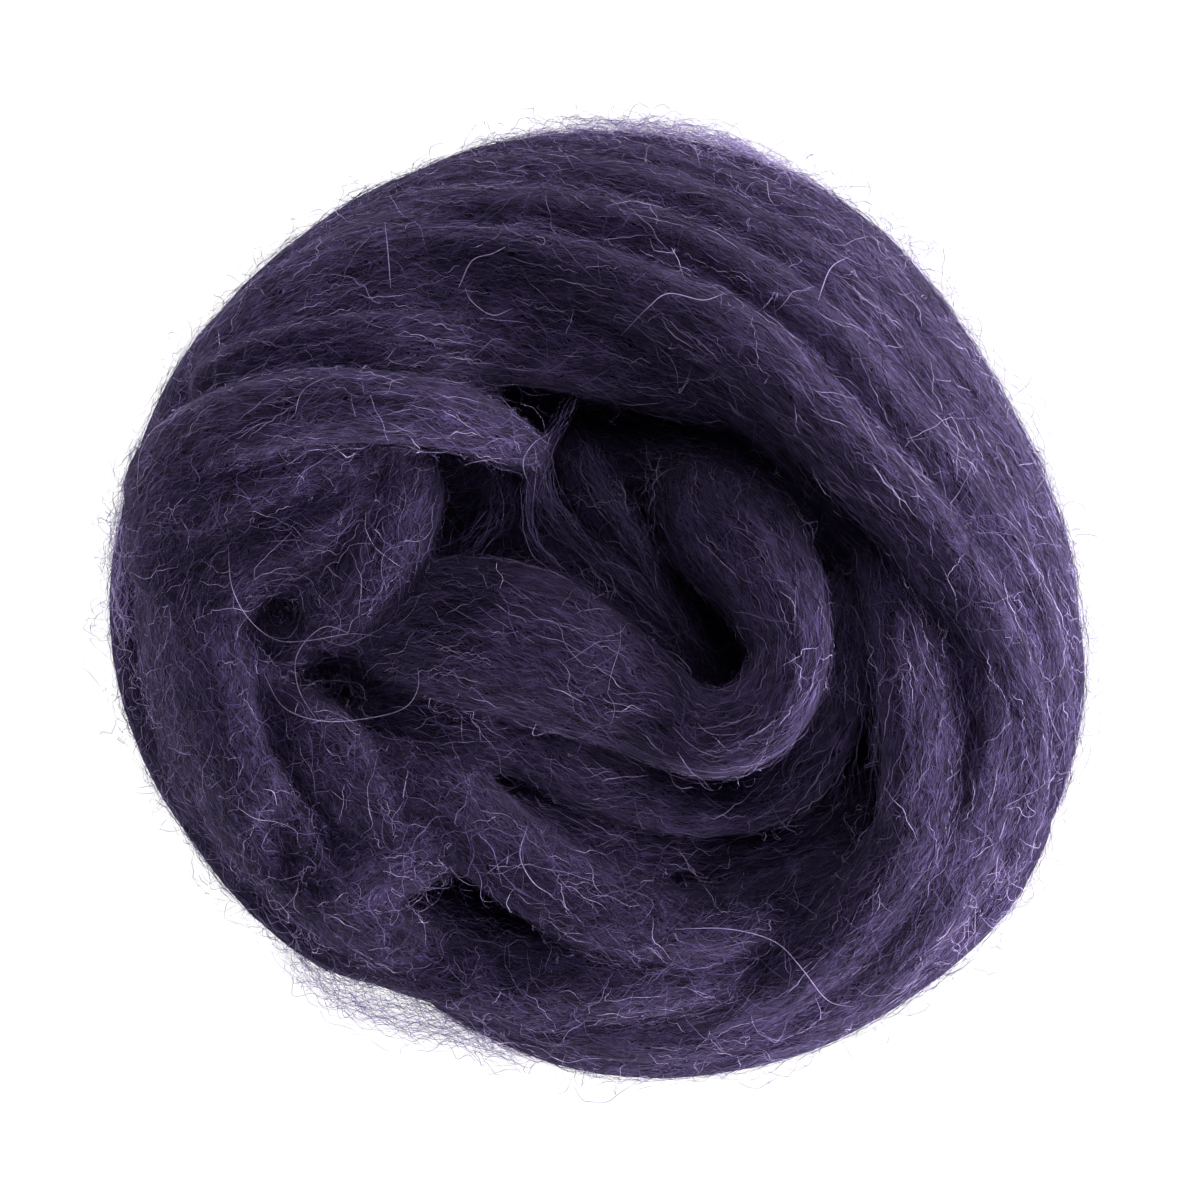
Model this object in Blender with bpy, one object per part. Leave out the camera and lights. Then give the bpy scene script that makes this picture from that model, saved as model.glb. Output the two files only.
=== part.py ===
"""Wool roving: one soft, untwisted rope of combed wool, wound loosely into a nest.

The rope runs round the outside as a winding on a tilted axis, and then folds into the middle. Each run of
it that shows is a strand: a flattened tube along a smooth curve. The strands are fused into one closed
body, which rests on a small flat spot. The middle of the nest is at x = y = 0 and it stands on z = 0.
"""

import math

import bmesh
import bpy
import numpy as np

# ---- Driving dimensions, in millimetres and degrees ----

MM = 0.001  # metres in a millimetre

MIDDLE_HEIGHT = 35  # the widest level of the nest
MIDDLE_RADIUS = 71  # the outline's usual radius
RISE = 45  # from the widest level to the top of the outer winding's form
DROP = 36  # from the widest level to the bottom of that form; the flat spot cuts a little off it
FULLNESS = 2.5  # exponent of that form's lower half, which the wool's weight makes fuller than an ellipse
TURN_OVERLAP = 1.1  # width of a turn over its distance from the next
POINTS_A_TURN = 90

# The outline seen from above: its radius in each direction, with a dent at the lower left.
# bearing, radius
OUTLINE = (
    (0, 73.0),
    (30, 69.2),
    (60, 71.4),
    (90, 71.2),
    (120, 71.0),
    (150, 72.4),
    (180, 74.4),
    (210, 72.0),
    (232, 69.5),
    (248, 64.5),
    (264, 68.0),
    (285, 71.4),
    (315, 73.0),
    (337, 76.0),
)

# Windings: the rope laid round the outside, turn below turn, on an axis that leans away from high_side.
# The latitude is measured from the winding's own equator.
WINDINGS = {
    "outer": {
        "first_latitude": 7.5,
        "last_latitude": -84,
        "turns": 9.6,
        "tilt": 45,
        "high_side": 52,
        "half_height": 6.5,
        "inset": 0,
    },
    "under": {
        "first_latitude": 2,
        "last_latitude": -62,
        "turns": 6.0,
        "tilt": 7,
        "high_side": 215,
        "half_height": 5.5,
        "inset": 0.6,
    },
}

# Strands: the runs of rope in the nest. z is the height of the strand's middle, and lean is how far its
# right edge drops, seen along the way that it runs.
STRANDS = {
    "belly": {  # the broad inner side of the outer winding
        "lean": 28,
        "rows": (  # x, y, z, half_width, half_height
            (-58, 28, 42, 5, 5),
            (-49, 38.5, 49, 8.5, 7),
            (-30, 47, 52, 12, 8),
            (-6, 45, 52, 13, 8),
            (14, 38.5, 50, 11, 7),
            (28, 31, 46, 8, 6),
        ),
    },
    "inner_wall": {  # the steep side of the hollow
        "lean": 42,
        "rows": (
            (-14, 54, 50, 8, 7),
            (12, 44, 53.5, 10, 8),
            (29, 33, 53.5, 10, 8),
            (41, 20, 51, 9, 7.5),
            (49, 7, 45, 7, 6),
        ),
    },
    "left_lip": {  # the high strand that arches over the left side
        "lean": 0,
        "rows": (
            (-66, 12, 44, 5, 5),
            (-63, 19, 53, 6, 6),
            (-54.5, 26, 61, 6, 6),
            (-43, 29.3, 66.5, 5.4, 6),
            (-30, 29.3, 67.5, 5.2, 6),
            (-21.5, 28, 65, 4.8, 5.4),
            (-15, 25.8, 61.5, 4.2, 4.6),
            (-10.5, 23, 56, 3.2, 3.6),
            (-8.5, 20, 49, 2, 2.6),
        ),
    },
    "upper_ribbon": {
        "lean": 0,
        "rows": (
            (-58, 32, 50, 3, 4),
            (-50, 36.5, 58, 2.8, 4.5),
            (-39, 39.6, 62, 2.4, 4),
            (-28, 40.6, 62, 2.3, 4),
            (-20, 39.4, 58, 2.6, 4),
            (-16, 36, 48, 2.2, 4),
        ),
    },
    "lower_ribbon": {
        "lean": 0,
        "rows": (
            (-57, 31, 52, 1.8, 4),
            (-46, 34.4, 60, 1.4, 4),
            (-32, 35.4, 61.5, 1.3, 4),
            (-22, 34.6, 58, 1.5, 4),
            (-14, 31.5, 46, 1.8, 4),
        ),
    },
    "left_flank": {
        "lean": 0,
        "rows": (
            (-65, 2, 45, 7, 7),
            (-61.5, 12, 50.5, 8, 7),
            (-55, 18.5, 56, 8.5, 6.5),
            (-46, 21.5, 58, 8, 6),
            (-36, 22.3, 55, 6.5, 5.5),
            (-28, 22, 49, 5, 5),
        ),
    },
    "lobe": {  # the rounded end of a fold, under the left lip
        "lean": 0,
        "rows": (
            (-25, 22, 46, 5, 6),
            (-29.5, 14, 55, 8, 8),
            (-33.5, 6, 57, 9, 8),
            (-40, 0.5, 53, 8, 7),
            (-50, -3, 46, 7, 6),
        ),
    },
    "lobe_side": {
        "lean": 0,
        "rows": (
            (-59, 0, 48, 8, 6.5),
            (-50, 8.5, 52.5, 8.5, 6.5),
            (-40, 15, 55, 8, 6.5),
            (-30, 18.5, 51, 6, 6),
        ),
    },
    "fold": {  # the broad strand that crosses the middle and turns back on itself
        "lean": 0,
        "rows": (
            (-40, -6, 40, 6, 6),
            (-31, -4.5, 47, 8.5, 8),
            (-19, -3.5, 53, 11, 10),
            (-6, -7, 54, 11, 10),
            (5, -13, 53.5, 8.5, 9),
            (13, -18, 54, 6.3, 8),
            (20, -18.6, 55.5, 5.8, 8),
            (26.4, -14.5, 56.5, 5.4, 7.5),
            (29, -5.5, 56.5, 5.6, 7.5),
            (25.6, 4, 54, 8.2, 8),
            (20.5, 11, 49, 10, 8),
            (17, 15, 39, 9, 8),
            (15.5, 16, 26, 8, 8),
        ),
    },
    "second_fold": {
        "lean": 0,
        "rows": (
            (-36, -13, 43, 5, 6),
            (-21, -16.5, 46.5, 5, 6.5),
            (-9, -21, 46.5, 4.6, 6),
            (1, -25.6, 46, 4.2, 6),
            (11, -28.6, 45, 3.8, 6),
            (20, -29, 44.5, 3.7, 6),
            (28, -26.3, 45.5, 3.6, 6),
            (33.4, -20, 47, 3.3, 5.5),
            (36.6, -11, 48.5, 3.3, 5.5),
            (37.6, -3, 48, 3.4, 5.5),
            (37.5, 5, 44.5, 3.6, 5.5),
        ),
    },
    "third_fold": {
        "lean": 0,
        "rows": (
            (-15, -25, 37, 3, 5),
            (-8, -29, 42, 3, 5),
            (2, -33.6, 42.5, 3, 5),
            (12, -35.5, 41.5, 2.8, 5),
            (22, -34.7, 40, 2.8, 5),
            (31, -30.7, 37, 3, 5),
            (37, -25.5, 33, 3, 5),
        ),
    },
    "deep_strand": {
        "lean": 0,
        "rows": (
            (-12, 27, 30, 7, 7),
            (5, 23, 32, 8, 7),
            (17, 22.5, 37, 7.5, 7),
            (27, 20, 43, 6.5, 6.5),
            (36, 14.5, 45, 6, 6),
            (43, 7, 43, 5, 6),
        ),
    },
    "twist_left": {
        "lean": 0,
        "rows": (
            (-9, 25, 51, 1.8, 2.2),
            (-9.5, 18, 49.5, 2.4, 2.6),
            (-7, 10, 47.5, 2.6, 2.8),
            (-1, 4.5, 45.5, 2.8, 3),
            (7, -1.5, 42, 2.8, 3),
            (14, -7.5, 38, 2.6, 3),
            (18, -12, 34, 2.4, 3),
        ),
    },
    "twist_right": {
        "lean": 0,
        "rows": (
            (-4, 26, 38, 3, 3),
            (-1, 17, 39, 3.2, 3.5),
            (4, 9.5, 41.5, 3.2, 3.5),
            (10, 3, 41, 3, 3.5),
            (16, -3, 38, 3, 3.5),
            (21, -9, 33, 3, 3.5),
        ),
    },
    "right_inner": {  # the broad strand inside the right rim
        "lean": 0,
        "rows": (
            (41.5, 15, 40, 5, 5),
            (45, 7, 46, 8, 6),
            (50, -6, 50, 12, 6),
            (52, -20, 50, 13, 6),
            (50, -33, 46, 11.5, 6.5),
            (42, -44, 41.5, 9.5, 7),
            (30.5, -53, 37, 8, 7),
            (17, -59, 34.5, 7, 6),
            (3, -61, 32, 6, 6),
        ),
    },
    "right_outer": {
        "lean": 0,
        "rows": (
            (54, 13, 46, 6, 5),
            (58.5, 2, 48.5, 9.5, 6),
            (60.5, -10, 49, 10, 6),
            (60, -22, 48, 9.5, 6),
            (55.5, -35, 44.8, 8.5, 5.5),
            (49, -47, 40.5, 7.5, 5),
            (39, -56.5, 34.5, 6, 5),
            (25, -62.5, 30, 5.5, 5),
        ),
    },
    "bottom_front": {  # the strand below the folds
        "lean": 0,
        "rows": (
            (42, -38, 35, 5, 6),
            (29, -45, 38.5, 7, 6),
            (14, -48.5, 41, 7.5, 6.5),
            (1, -45, 43.5, 7, 7),
            (-12, -37, 45.5, 6, 7),
            (-23.5, -28.5, 46, 7.2, 7),
            (-35, -26, 45, 7.5, 6.5),
            (-45, -27, 42, 6, 6),
        ),
    },
    "bottom_middle": {
        "lean": 0,
        "rows": (
            (36, -48, 34, 5, 5),
            (21, -53.5, 38, 6, 5.5),
            (6, -55.5, 40, 6, 6),
            (-8, -54, 39.5, 5, 6),
            (-17, -54, 35, 4, 5),
        ),
    },
    "bottom_outer": {
        "lean": 0,
        "rows": (
            (66, -28, 34, 5, 5),
            (58, -43, 33, 5.5, 5),
            (45, -54.5, 31, 6, 5),
            (30, -62, 29, 6, 5.5),
            (14, -65.5, 29, 6, 5.5),
            (-1, -64, 31, 6, 6),
            (-14, -59, 33, 6, 6),
            (-26, -53, 33, 5, 5),
        ),
    },
    "left_outer": {
        "lean": 0,
        "rows": (
            (-61, 10, 46, 11, 7),
            (-60, -4, 45.5, 12.5, 7),
            (-57, -18, 44.5, 13, 7),
            (-51, -30, 43, 12.5, 7),
            (-43.5, -40, 40.5, 11.5, 6.5),
            (-33, -48, 38, 9, 6),
            (-20, -54, 34.5, 7, 5.5),
            (-8, -60, 32, 5.5, 5.5),
        ),
    },
    "left_inner": {
        "lean": 0,
        "rows": (
            (-55, 8, 47, 8, 6.5),
            (-53, -4, 46, 7, 6.5),
            (-52, -16, 45, 8, 7),
            (-49, -26, 43, 8, 7),
            (-45, -35, 40, 7, 6),
        ),
    },
    "tangle": {  # loose wool between the left side and the folds
        "lean": 0,
        "rows": (
            (-50, -13, 43, 6, 6),
            (-43.5, -20, 43.5, 7.5, 6.5),
            (-37, -27, 43, 9, 6.5),
            (-31, -34, 42, 8, 6),
            (-26, -39, 39, 6, 5),
        ),
    },
    "corner": {  # loose wool at the lower left
        "lean": 0,
        "rows": (
            (-16, -30, 44, 5, 6),
            (-25, -33.5, 45, 7.6, 7),
            (-33, -37, 44, 8.5, 7),
            (-38.5, -43, 41.5, 9, 6.5),
            (-37, -50, 36, 8, 6),
        ),
    },
    "bottom_left": {
        "lean": 0,
        "rows": (
            (-45, -41, 36, 4, 5),
            (-34, -50, 37, 5, 5.5),
            (-22, -54, 38, 5.6, 6),
            (-9, -57.5, 37, 6, 6),
            (6, -58, 34.5, 5, 5.5),
        ),
    },
}

# The wool inside, which only closes the gaps under the strands.
# x, y, z, semi_x, semi_y, semi_z
INNER_MASSES = (
    (0, 0, 16, 59, 58, 17.5),
    (-4, -16, 31, 36, 26, 14),
    (-46, 6, 34, 20, 30, 14),
    (-6, 38, 32, 36, 9, 14),
    (-22, 22, 32, 16, 12, 12),
    (-22, -46, 29, 15, 9, 9),
    (-36, -28, 38, 13, 13, 12),
    (-54, -14, 38, 12, 22, 12),
)
INNER_MASS_SUBDIVISIONS = 4
INNER_RING_RADIUS = 51  # a ring of wool behind the outer winding
INNER_RING_HALF_WIDTH = 12
INNER_RING_BOTTOM = 12
INNER_RING_TOP = 52
INNER_RING_TURNS = 1.025  # its ends overlap

ROUND_SIDES = 20  # points round a strand
STEP_ALONG = 3  # from one cross-section of a strand to the next
FLATNESS = 2.1  # exponent of a strand's superellipse section: 2 is an ellipse
END_SIZE = 0.14  # the last cross-section of a strand's rounded end over a full one
SKIN_VOXEL = 1.2
SKIN_SMOOTHING = 0.5
SKIN_TRIANGLES = 8200
FLOOR_CUTTER = 200

WOOL_COLOUR = (0.055, 0.042, 0.092, 1)


def catmull_rom(before, start, end, after, t):
    """The smooth curve from start to end, which t from 0 to 1 runs through."""
    slope = end - before
    bend = 2 * before - 5 * start + 4 * end - after
    twist = 3 * start - before - 3 * end + after
    return 0.5 * (2 * start + slope * t + bend * t**2 + twist * t**3)


def smooth_curve(rows, step):
    """Points on a curve through the rows, about a step apart; every column is interpolated."""
    rows = np.array(rows, float)
    before, after = 2 * rows[0] - rows[1], 2 * rows[-1] - rows[-2]
    knots = np.vstack([before, rows, after])
    found = []
    for a, b, c, d in zip(knots, knots[1:], knots[2:], knots[3:]):
        count = max(2, round(float(np.linalg.norm(c[:3] - b[:3])) / step))
        t = np.linspace(0, 1, count, endpoint=False)[:, None]
        found.append(catmull_rom(a, b, c, d, t))
    return np.vstack(found + [rows[-1:]])


def outline_radius(bearing):
    """The outline's radius in millimetres at each bearing in degrees."""
    table = np.array(OUTLINE, float)
    turned = np.vstack([table - (360, 0), table, table + (360, 0)])
    at = np.mod(bearing, 360)
    low = np.clip(np.searchsorted(turned[:, 0], at, side="right") - 1, 1, len(turned) - 3)
    a, b, c, d = (turned[low + k, 1] for k in (-1, 0, 1, 2))
    t = (at - turned[low, 0]) / (turned[low + 1, 0] - turned[low, 0])
    return catmull_rom(a, b, c, d, t)


def form_up(points):
    """The direction that points out of the nest's form at each point."""
    height = np.where(points[:, 2] > MIDDLE_HEIGHT, RISE, DROP)
    level = points[:, :2] / MIDDLE_RADIUS**2
    out = np.column_stack([level, (points[:, 2] - MIDDLE_HEIGHT) / height**2])
    return out / np.linalg.norm(out, axis=1)[:, None]


def winding_points(winding, turn):
    """The middle of the rope after each number of turns, its outside on the nest's form."""
    along = turn / winding["turns"]
    latitude = np.radians(
        winding["first_latitude"] + (winding["last_latitude"] - winding["first_latitude"]) * along
    )
    round_axis = math.pi - 2 * math.pi * turn
    tilt = math.radians(winding["tilt"])
    high = math.radians(winding["high_side"])
    forward = np.cos(latitude) * np.cos(round_axis)
    side = np.cos(latitude) * np.sin(round_axis)
    lift = np.sin(latitude)
    level = forward * math.cos(tilt) - lift * math.sin(tilt)
    height = lift * math.cos(tilt) + forward * math.sin(tilt)
    x = level * math.cos(high) - side * math.sin(high)
    y = level * math.sin(high) + side * math.cos(high)
    fuller = (np.hypot(x, y) ** FULLNESS + np.abs(height) ** FULLNESS) ** (-1 / FULLNESS)
    x, y, height = (np.where(height < 0, fuller, 1) * value for value in (x, y, height))
    depth = winding["half_height"] + winding["inset"]
    radius = outline_radius(np.degrees(np.arctan2(y, x))) - depth
    rise = np.where(height > 0, RISE, DROP) - depth
    return np.column_stack([x * radius, y * radius, MIDDLE_HEIGHT + rise * height])


def winding_rows(winding):
    """x, y, z, half_width, half_height along a winding, each turn as wide as its place beside the next."""
    turn = np.linspace(0, winding["turns"], int(winding["turns"] * POINTS_A_TURN))
    middle = winding_points(winding, turn)
    way = np.gradient(middle, axis=0)
    way /= np.linalg.norm(way, axis=1)[:, None]
    beside = winding_points(winding, turn + 0.5) - winding_points(winding, turn - 0.5)
    beside -= way * (beside * way).sum(axis=1)[:, None]
    half_width = TURN_OVERLAP * 0.5 * np.linalg.norm(beside, axis=1)
    return np.column_stack([middle, half_width, np.full_like(turn, winding["half_height"])])


def tube(rows, lean=0):
    """Vertices and faces of a closed tube with a superellipse section and rounded ends."""
    middle, half_width, half_height = rows[:, :3], rows[:, 3], rows[:, 4]
    way = np.gradient(middle, axis=0)
    way /= np.linalg.norm(way, axis=1)[:, None]
    up = form_up(middle)
    side = np.cross(way, up)
    side /= np.linalg.norm(side, axis=1)[:, None]
    up = np.cross(side, way)
    turn = math.radians(lean)
    side, up = side * math.cos(turn) - up * math.sin(turn), up * math.cos(turn) + side * math.sin(turn)
    travelled = np.concatenate([[0], np.cumsum(np.linalg.norm(np.diff(middle, axis=0), axis=1))])
    to_end = np.minimum(travelled, travelled[-1] - travelled)
    rounding = np.sqrt(np.clip(1 - (1 - to_end / half_width) ** 2, END_SIZE**2, 1))
    rounding = np.where(to_end < half_width, rounding, 1)[:, None]
    angle = np.linspace(0, 2 * math.pi, ROUND_SIDES, endpoint=False)
    across = np.sign(np.cos(angle)) * np.abs(np.cos(angle)) ** (2 / FLATNESS)
    above = np.sign(np.sin(angle)) * np.abs(np.sin(angle)) ** (2 / FLATNESS)
    points = (
        middle[:, None, :]
        + (half_width[:, None] * rounding * across)[:, :, None] * side[:, None, :]
        + (half_height[:, None] * rounding * above)[:, :, None] * up[:, None, :]
    )
    rings = len(middle)
    index = np.arange(rings * ROUND_SIDES).reshape(rings, ROUND_SIDES)
    after = np.roll(index, -1, axis=1)
    quads = np.stack([index[:-1], after[:-1], after[1:], index[1:]], axis=-1).reshape(-1, 4)
    faces = [tuple(quad) for quad in quads.tolist()]
    faces.append(tuple(reversed(index[0].tolist())))
    faces.append(tuple(index[-1].tolist()))
    return points.reshape(-1, 3), faces


def add_shape(mesh, points, faces):
    """Adds the shape to the bmesh, with its faces pointing out."""
    vertices = [mesh.verts.new(point * MM) for point in points]
    made = [mesh.faces.new([vertices[i] for i in face]) for face in faces]
    bmesh.ops.recalc_face_normals(mesh, faces=made)


def inner_ring_rows():
    """The ring of wool behind the outer winding, as rows of a closed loop with its two ends overlapping."""
    bearing = np.linspace(0, 2 * math.pi * INNER_RING_TURNS, POINTS_A_TURN)
    middle = (INNER_RING_BOTTOM + INNER_RING_TOP) / 2
    half_height = (INNER_RING_TOP - INNER_RING_BOTTOM) / 2
    level = np.full_like(bearing, 1)
    return np.column_stack(
        [
            INNER_RING_RADIUS * np.cos(bearing),
            INNER_RING_RADIUS * np.sin(bearing),
            middle * level,
            half_height * level,
            INNER_RING_HALF_WIDTH * level,
        ]
    )


def add_inner_wool(mesh):
    for x, y, z, semi_x, semi_y, semi_z in INNER_MASSES:
        made = bmesh.ops.create_icosphere(mesh, subdivisions=INNER_MASS_SUBDIVISIONS, radius=1)["verts"]
        for vertex in made:
            vertex.co.x = (x + semi_x * vertex.co.x) * MM
            vertex.co.y = (y + semi_y * vertex.co.y) * MM
            vertex.co.z = (z + semi_z * vertex.co.z) * MM
    add_shape(mesh, *tube(inner_ring_rows()))


def largest_shell(mesh):
    """Keeps the outer skin, so that no sealed hollow is left inside."""
    shells = []
    waiting = set(mesh.verts)
    while waiting:
        shell = [waiting.pop()]
        for vertex in shell:
            for edge in vertex.link_edges:
                other = edge.other_vert(vertex)
                if other in waiting:
                    waiting.remove(other)
                    shell.append(other)
        shells.append(shell)
    shells.sort(key=len)
    for shell in shells[:-1]:
        bmesh.ops.delete(mesh, geom=shell, context="VERTS")


def fused_skin():
    """One mesh of all the strands and the wool inside, fused by voxels."""
    mesh = bmesh.new()
    for winding in WINDINGS.values():
        add_shape(mesh, *tube(winding_rows(winding)))
    for strand in STRANDS.values():
        add_shape(mesh, *tube(smooth_curve(strand["rows"], STEP_ALONG), strand["lean"]))
    add_inner_wool(mesh)
    data = bpy.data.meshes.new("strands")
    mesh.to_mesh(data)
    mesh.free()
    strands = bpy.data.objects.new("strands", data)
    bpy.context.scene.collection.objects.link(strands)
    remesh = strands.modifiers.new("fuse", "REMESH")
    remesh.mode = "VOXEL"
    remesh.voxel_size = SKIN_VOXEL * MM
    graph = bpy.context.evaluated_depsgraph_get()
    skin = bpy.data.meshes.new_from_object(strands.evaluated_get(graph))
    bpy.data.objects.remove(strands)
    mesh = bmesh.new()
    mesh.from_mesh(skin)
    largest_shell(mesh)
    bmesh.ops.triangulate(mesh, faces=mesh.faces)
    mesh.to_mesh(skin)
    mesh.free()
    skin.name = "wool_roving"
    return skin


def floor_cutter():
    """A block whose top is the surface that the nest stands on."""
    data = bpy.data.meshes.new("floor_cutter")
    mesh = bmesh.new()
    bmesh.ops.create_cube(mesh, size=FLOOR_CUTTER * MM)
    mesh.to_mesh(data)
    mesh.free()
    cutter = bpy.data.objects.new("floor_cutter", data)
    cutter.location.z = -FLOOR_CUTTER / 2 * MM
    cutter.hide_render = True
    cutter.display_type = "WIRE"
    bpy.context.scene.collection.objects.link(cutter)
    return cutter


def wool_material():
    material = bpy.data.materials.new("dark violet wool")
    material.use_nodes = True
    shader = material.node_tree.nodes["Principled BSDF"]
    shader.inputs["Base Color"].default_value = WOOL_COLOUR
    shader.inputs["Roughness"].default_value = 0.85
    shader.inputs["Metallic"].default_value = 0
    return material


def wool_roving():
    skin = fused_skin()
    skin.materials.append(wool_material())
    skin.shade_smooth()
    roving = bpy.data.objects.new("wool_roving", skin)
    bpy.context.scene.collection.objects.link(roving)
    smooth = roving.modifiers.new("soften", "SMOOTH")
    smooth.factor = SKIN_SMOOTHING
    smooth.iterations = 1
    fewer = roving.modifiers.new("fewer", "DECIMATE")
    fewer.ratio = SKIN_TRIANGLES / len(skin.polygons)
    flat = roving.modifiers.new("flat_spot", "BOOLEAN")
    flat.operation = "DIFFERENCE"
    flat.object = floor_cutter()
    return roving


def main():
    for obj in list(bpy.data.objects):
        bpy.data.objects.remove(obj)
    wool_roving()


main()
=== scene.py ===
"""Wool roving: the looks of a loose nest of dark violet combed wool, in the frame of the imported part.

The nest's body repeats the runs of rope of the CAD part with their slivers as ridges, fused into one skin.
Fibres are then traced over that skin along each run, and stray hairs stand off it. Lengths are in
millimetres until a mesh is made.
"""

import math
from types import SimpleNamespace as Settings

import bmesh
import bpy
import numpy as np
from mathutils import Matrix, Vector
from mathutils.bvhtree import BVHTree


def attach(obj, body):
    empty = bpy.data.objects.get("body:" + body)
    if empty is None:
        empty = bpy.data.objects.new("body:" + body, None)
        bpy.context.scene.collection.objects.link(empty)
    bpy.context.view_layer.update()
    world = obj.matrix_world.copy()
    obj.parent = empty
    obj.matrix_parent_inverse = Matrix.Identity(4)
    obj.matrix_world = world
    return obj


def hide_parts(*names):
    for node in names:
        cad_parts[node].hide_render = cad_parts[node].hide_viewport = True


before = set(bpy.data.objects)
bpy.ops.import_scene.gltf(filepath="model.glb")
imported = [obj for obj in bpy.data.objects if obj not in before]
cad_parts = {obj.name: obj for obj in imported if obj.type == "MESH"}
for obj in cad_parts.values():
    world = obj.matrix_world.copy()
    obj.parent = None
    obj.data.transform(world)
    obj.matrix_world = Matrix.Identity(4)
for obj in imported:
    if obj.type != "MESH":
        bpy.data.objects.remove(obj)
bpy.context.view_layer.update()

MM = 0.001  # metres in a millimetre

# ---- The form of the nest, as in the CAD part ----

MIDDLE_HEIGHT = 35  # the widest level of the nest
MIDDLE_RADIUS = 71  # the outline's usual radius
RISE = 45  # from the widest level to the top of the outer winding's form
DROP = 36  # from the widest level to the bottom of that form
FULLNESS = 2.5  # exponent of that form's lower half
TURN_OVERLAP = 1.16  # width of a turn over its distance from the next
POINTS_A_TURN = 260

# The outline: bearing, radius
OUTLINE = (
    (0, 73.0), (30, 69.2), (60, 71.4), (90, 71.2), (120, 71.0), (150, 72.4), (180, 74.4),
    (210, 72.0), (232, 69.5), (248, 64.5), (264, 68.0), (285, 71.4), (315, 73.0), (337, 76.0),
)

# Windings: the rope laid round the outside. scatter is how far its fibres stray from its run, in degrees,
# and ridges is how far its slivers stand out beside their usual depth.
OUTER = Settings(
    latitudes=(7.5, -84), turns=9.6, tilt=45, high_side=52, half_height=6.5, inset=0, scatter=9, ridges=0.9,
)
UNDER = Settings(
    latitudes=(2, -62), turns=6.0, tilt=7, high_side=215, half_height=5.5, inset=1.6, scatter=12, ridges=1.0,
)

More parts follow.
